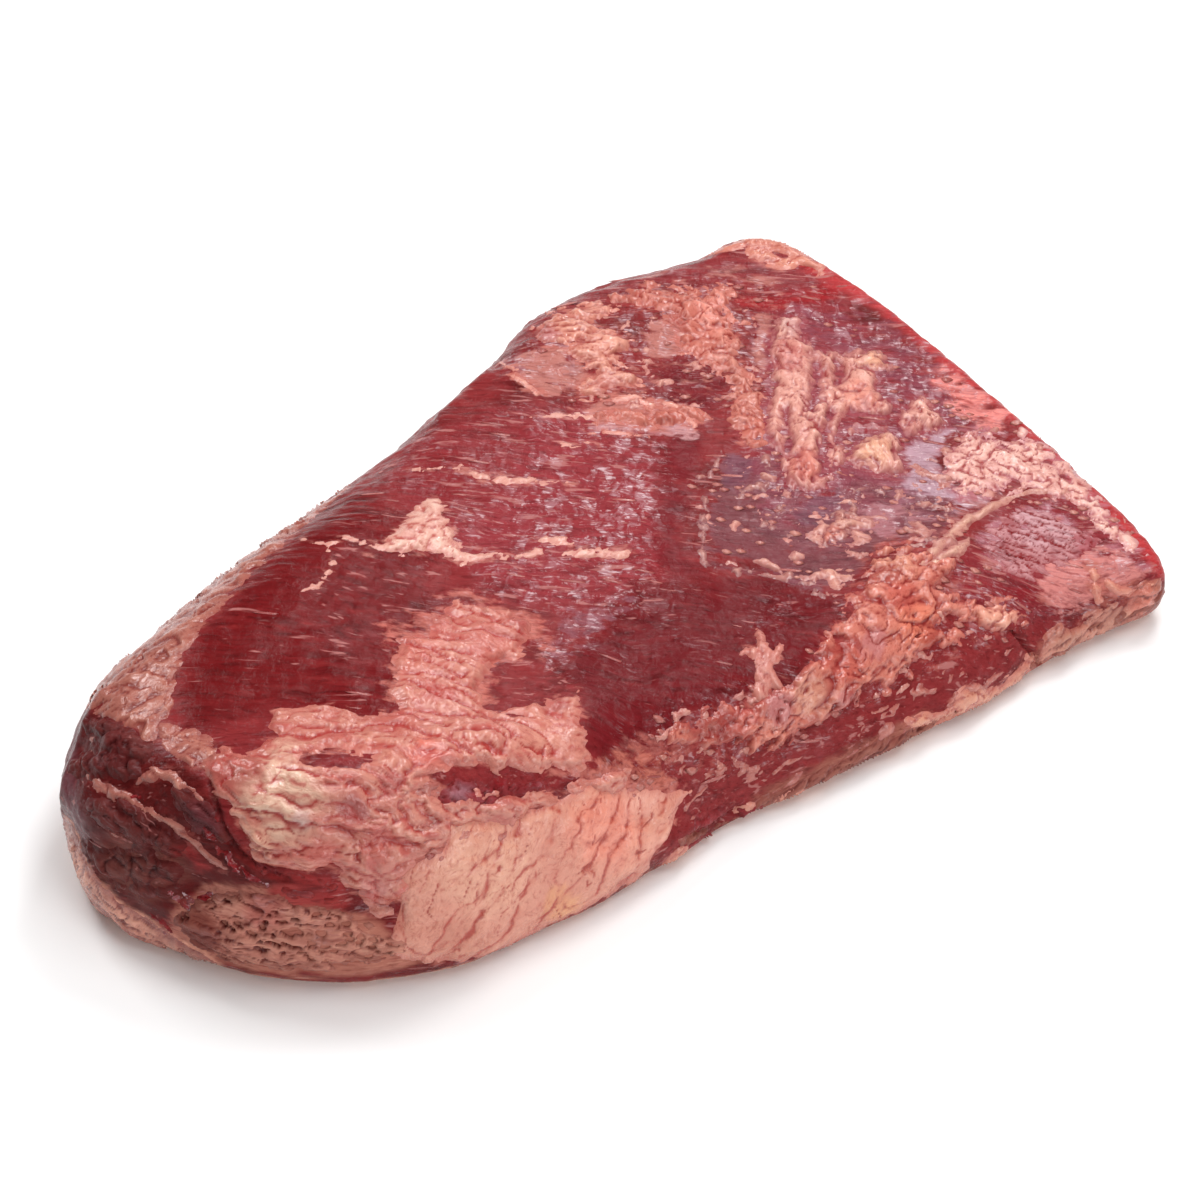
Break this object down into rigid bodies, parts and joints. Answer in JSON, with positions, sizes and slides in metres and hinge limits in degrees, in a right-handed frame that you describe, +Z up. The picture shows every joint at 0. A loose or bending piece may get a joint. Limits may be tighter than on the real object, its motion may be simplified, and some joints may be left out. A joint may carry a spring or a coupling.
{
  "type": "raw beef brisket",
  "caption": "Whole raw beef brisket lying fat side down: thick rounded point at one end, thin square-cut flat at the other, with marbled lean and seam fat.",
  "frame": {"origin": "middle of the flat resting face, at the centre of the overall length and width", "axes": "+X from the thick point end towards the square-cut end of the flat, +Y from the long front edge towards the back edge, +Z up from the resting face"},
  "size_m": [0.5034, 0.3204, 0.1015],
  "materials": {
    "meat": "wet raw beef: red lean with a soft sheen, cream and salmon fat, brown trimmed end"
  },
  "bodies": {
    "root": {"brisket": "meat"}
  },
  "joints": []
}
